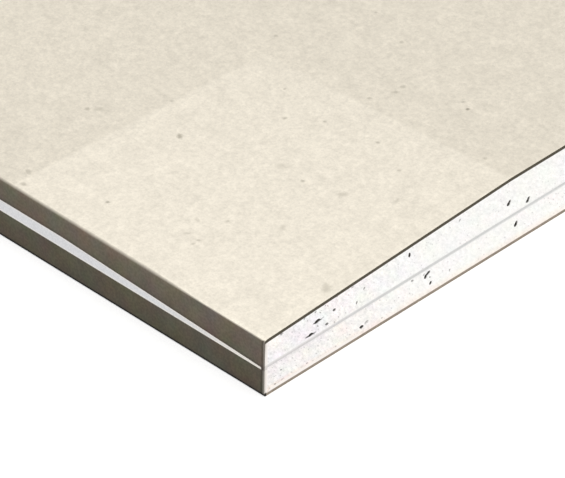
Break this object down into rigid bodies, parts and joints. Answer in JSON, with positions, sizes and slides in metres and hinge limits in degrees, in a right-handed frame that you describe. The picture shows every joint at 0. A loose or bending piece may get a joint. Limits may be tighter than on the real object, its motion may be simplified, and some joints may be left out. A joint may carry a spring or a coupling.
{
  "type": "laminated drywall sheet",
  "caption": "Flat drywall sheet laminated from gypsum boards on a thin damping layer, with tapered, paper-wrapped long edges and square-cut ends that show the white core.",
  "frame": {"origin": "centre of the sheet's back face, which lies on Z = 0", "axes": "+X along the length between the cut ends, +Y across the width between the tapered long edges, +Z out of the face"},
  "size_m": [2.4384, 1.2192, 0.0159],
  "materials": {
    "face_paper": "matte",
    "edge_paper": "matte",
    "back_paper": "matte",
    "gypsum_core": "matte",
    "damping_polymer": "satin"
  },
  "bodies": {
    "root": {"face_paper": "face_paper", "face_core": "gypsum_core", "damping_layer": "damping_polymer", "back_core": "gypsum_core", "edge_paper_left": "edge_paper", "edge_paper_right": "edge_paper", "back_paper": "back_paper"}
  },
  "joints": []
}
